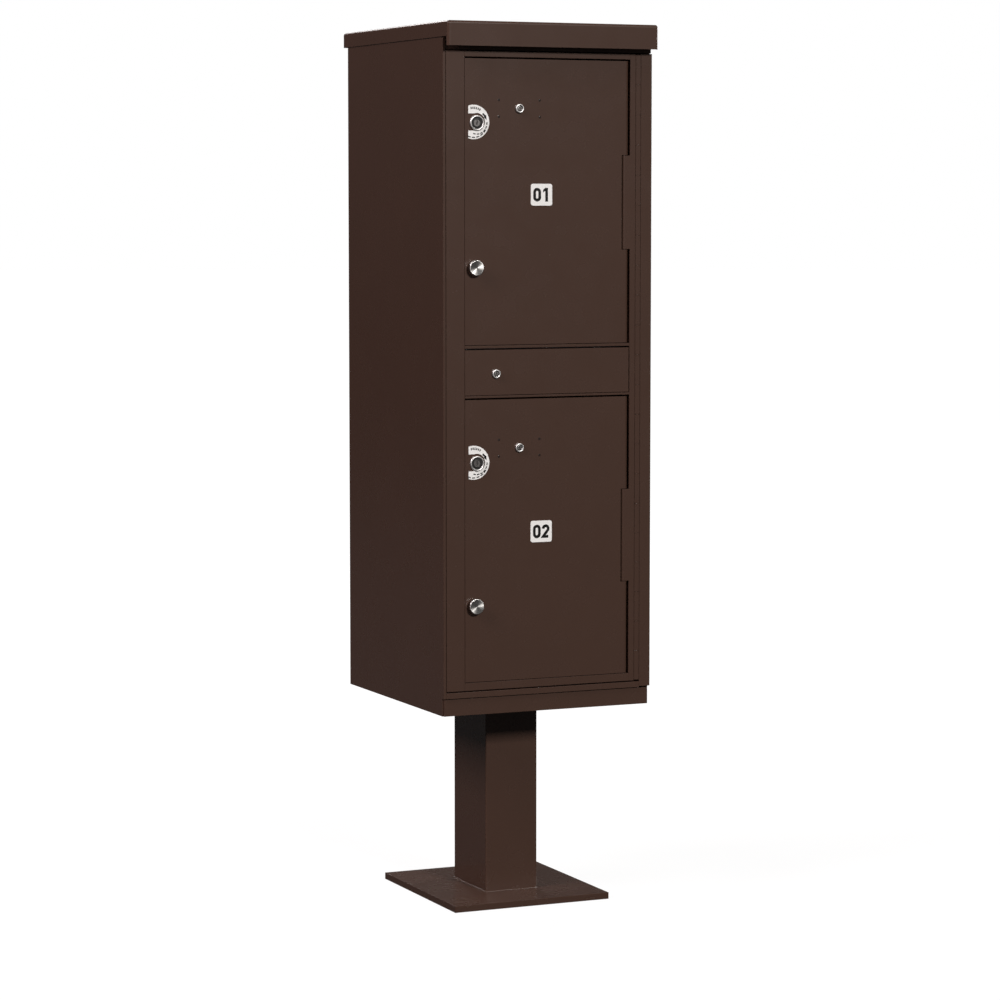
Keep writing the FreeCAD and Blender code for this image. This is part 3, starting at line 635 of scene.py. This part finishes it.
def weld_bead():
    """A small rippled fillet weld where the tube meets the base plate."""
    low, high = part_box("pedestal_post")
    leg = 1.4 * MM
    throat = 0.98
    ripple = 1.6 * MM
    x0, y0, x1, y1 = low[0], low[1], high[0], high[1]
    corners = [(x0, y0, x1, y0, 0, -1), (x1, y0, x1, y1, 1, 0), (x1, y1, x0, y1, 0, 1),
               (x0, y1, x0, y0, -1, 0)]
    bm = bmesh.new()
    for ax, ay, bx, by, nx, ny in corners:
        length = math.hypot(bx - ax, by - ay)
        steps = int(length / ripple * 4)
        rows = []
        for step in range(steps + 1):
            share = step / steps
            swell = 1 + 0.12 * math.sin(share * length / ripple * 2 * math.pi)
            x, y = ax + (bx - ax) * share, ay + (by - ay) * share
            row = []
            for turn in (0, 30, 60, 90):
                out = leg * swell * math.cos(math.radians(turn)) * throat
                up = leg * swell * math.sin(math.radians(turn)) * throat
                row.append(bm.verts.new((x + nx * out, y + ny * out, low[2] + up)))
            row.append(bm.verts.new((x, y, low[2])))
            rows.append(row)
        for row, nxt in zip(rows, rows[1:]):
            for index in range(5):
                after = (index + 1) % 5
                bm.faces.new((row[index], row[after], nxt[after], nxt[index]))
        bm.faces.new(rows[0])
        bm.faces.new(rows[-1][::-1])
    bmesh.ops.recalc_face_normals(bm, faces=bm.faces)
    mesh = bpy.data.meshes.new("post_weld_bead")
    bm.to_mesh(mesh)
    bm.free()
    smoothed(piece("post_weld_bead", mesh, COAT, "cabinet"), 60)


# ---------------------------------------------------------------- studio

BACKGROUND = 1.0


def make_floor():
    """A wide round sheet of dark board that looks pale to the camera through a painted glow, a
    little dimmer near the middle, and runs on into the white surroundings.

    The board throws little light back at the object, so the object's shaded parts stay deep.
    """
    bm = bmesh.new()
    bmesh.ops.create_circle(bm, cap_ends=True, radius=60, segments=96)
    mesh = bpy.data.meshes.new("studio_floor")
    bm.to_mesh(mesh)
    bm.free()
    floor = bpy.data.objects.new("studio_floor", mesh)
    bpy.context.scene.collection.objects.link(floor)

    g = Graph("studio_board_painted_glow", Specular_IOR_Level=0.0, Roughness=0.9)
    grain = g.noise(4, 3)
    path = g.add("ShaderNodeLightPath")
    board = g.add("ShaderNodeMix", data_type="RGBA", blend_type="MIX")
    board.inputs["A"].default_value = (0.05, 0.05, 0.05, 1)
    g.link(g.ramp(grain, [(0.3, (0.10, 0.10, 0.10)), (0.7, (0.11, 0.11, 0.11))]), board.inputs["B"])
    g.link(path.outputs["Is Camera Ray"], board.inputs["Factor"])
    # Painted glow, for camera rays only: 0.90 of full white near the middle, rising to the
    # background's white 5 m out.
    distance = g.add("ShaderNodeVectorMath", operation="LENGTH")
    g.link(g.place, distance.inputs[0])
    reach = g.add("ShaderNodeMapRange")
    reach.inputs["From Min"].default_value = 0.6
    reach.inputs["From Max"].default_value = 5.0
    reach.inputs["To Min"].default_value = 0.90
    reach.inputs["To Max"].default_value = BACKGROUND
    g.link(distance.outputs["Value"], reach.inputs["Value"])
    glow = g.add("ShaderNodeMath", operation="MULTIPLY")
    g.link(reach.outputs["Result"], glow.inputs[0])
    g.link(path.outputs["Is Camera Ray"], glow.inputs[1])
    g.link(glow.outputs["Value"], g.shader.inputs["Emission Strength"])
    g.shader.inputs["Emission Color"].default_value = (1, 1, 1, 1)
    mesh.materials.append(g.finish(board.outputs["Result"]))


def make_world():
    """White surroundings that light the object gently from above and hardly show in its gloss."""
    world = bpy.data.worlds.new("studio")
    bpy.context.scene.world = world
    world.use_nodes = True
    tree = world.node_tree
    seen = tree.nodes["Background"]
    seen.inputs["Color"].default_value = (1, 1, 1, 1)
    seen.inputs["Strength"].default_value = BACKGROUND
    glow = tree.nodes.new("ShaderNodeBackground")
    glow.inputs["Color"].default_value = (1.0, 0.98, 0.97, 1)
    place = tree.nodes.new("ShaderNodeTexCoord")
    split = tree.nodes.new("ShaderNodeSeparateXYZ")
    rise = tree.nodes.new("ShaderNodeMapRange")
    rise.interpolation_type = "SMOOTHSTEP"
    rise.inputs["From Min"].default_value = 0.25
    rise.inputs["From Max"].default_value = 0.75
    rise.inputs["To Min"].default_value = 0.04
    rise.inputs["To Max"].default_value = 0.16
    path = tree.nodes.new("ShaderNodeLightPath")
    mix = tree.nodes.new("ShaderNodeMixShader")
    tree.links.new(place.outputs["Generated"], split.inputs["Vector"])
    tree.links.new(split.outputs["Z"], rise.inputs["Value"])
    tree.links.new(rise.outputs["Result"], glow.inputs["Strength"])
    tree.links.new(path.outputs["Is Camera Ray"], mix.inputs["Fac"])
    tree.links.new(glow.outputs["Background"], mix.inputs[1])
    tree.links.new(seen.outputs["Background"], mix.inputs[2])
    tree.links.new(mix.outputs["Shader"], tree.nodes["World Output"].inputs["Surface"])


def softbox(name, azimuth, elevation, distance, size, power, colour):
    """A square light on a sphere round the cabinet; azimuth 0 is in front, 90 on the right."""
    turn, rise = math.radians(azimuth), math.radians(elevation)
    aim = Vector((0, 0, 0.9))
    away = Vector((math.sin(turn) * math.cos(rise), -math.cos(turn) * math.cos(rise),
                   math.sin(rise)))
    light = bpy.data.lights.new(name, "AREA")
    light.size = size
    light.energy = power
    light.color = colour
    lamp = bpy.data.objects.new(name, light)
    lamp.location = aim + away * distance
    lamp.visible_camera = False
    lamp.rotation_mode = "QUATERNION"
    lamp.rotation_quaternion = (-away).to_track_quat("-Z", "Y")
    bpy.context.scene.collection.objects.link(lamp)


def make_camera():
    """A long lens from the left of the front, a little above the middle, looking slightly down."""
    azimuth = math.radians(24.0)
    pitch = math.radians(5.036)
    aim = Vector((0.0253, 0.0351, 0.7175))
    distance = 6.15
    ahead = Vector((math.sin(azimuth) * math.cos(pitch), math.cos(azimuth) * math.cos(pitch),
                    -math.sin(pitch)))
    data = bpy.data.cameras.new("camera")
    data.sensor_width = 36
    data.lens = 120.16
    camera = bpy.data.objects.new("camera", data)
    camera.location = aim - ahead * distance
    camera.rotation_mode = "QUATERNION"
    camera.rotation_quaternion = ahead.to_track_quat("-Z", "Y")
    bpy.context.scene.collection.objects.link(camera)
    bpy.context.scene.camera = camera


# ---------------------------------------------------------------- build

dress_nodes()
for door in DOOR_NUMBERS:
    customer_lock(door)
    pull_knob(door)
    turn_label(door)
    numeral(door)
    small_lock(f"carrier_lock_{door}", f"parcel_door_{door}")
    stud_caps(door)
small_lock("master_lock", "master_door")
weld_bead()

make_floor()
make_world()
softbox("key_light", 8, 23, 22.0, 2.7, 3720, (1.0, 0.96, 0.93))
softbox("left_light", -80, 36, 9.0, 4.0, 690, (1.0, 0.90, 0.92))
softbox("right_light", 98, 14, 9.0, 3.5, 420, (1.0, 0.95, 0.94))
softbox("rear_light", 178, 38, 9.0, 3.5, 330, (1.0, 0.95, 0.94))
make_camera()
bpy.context.scene.view_settings.view_transform = "Standard"
